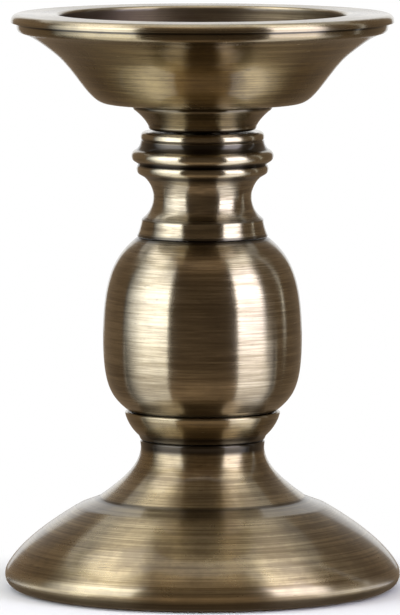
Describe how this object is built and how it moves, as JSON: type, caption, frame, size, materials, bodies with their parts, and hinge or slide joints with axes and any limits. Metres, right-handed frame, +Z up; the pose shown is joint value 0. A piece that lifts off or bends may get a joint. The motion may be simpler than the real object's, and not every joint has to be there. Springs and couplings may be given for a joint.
{
  "type": "candlestick",
  "caption": "Turned brass candlestick with a round dish for a pillar candle, a beaded neck, a round bulb and a spreading foot.",
  "frame": {"origin": "centre of the felt pad's underside, on the surface the candlestick stands on", "axes": "+Z up along the tie rod, from the foot to the dish; +X and +Y are any two directions square to it"},
  "size_m": [0.103, 0.103, 0.15],
  "materials": {
    "brushed_brass": "brushed antique",
    "dark_brass": "polished antique",
    "zinc_steel": "zinc plated",
    "fibre_board": "pressed fibre board",
    "felt": "black felt"
  },
  "bodies": {
    "root": {"candle_pan": "brushed_brass", "bowl_shell": "brushed_brass", "bowl_boss": "dark_brass", "neck_spool": "dark_brass", "bulb_shell": "brushed_brass", "collar_cup": "dark_brass", "foot_shell": "brushed_brass", "base_disc": "fibre_board", "felt_pad": "felt", "tie_rod": "zinc_steel", "top_washer": "zinc_steel", "top_lock_washer": "zinc_steel", "top_nut": "zinc_steel", "bottom_washer": "zinc_steel", "bottom_lock_washer": "zinc_steel", "bottom_nut": "zinc_steel"}
  },
  "joints": []
}
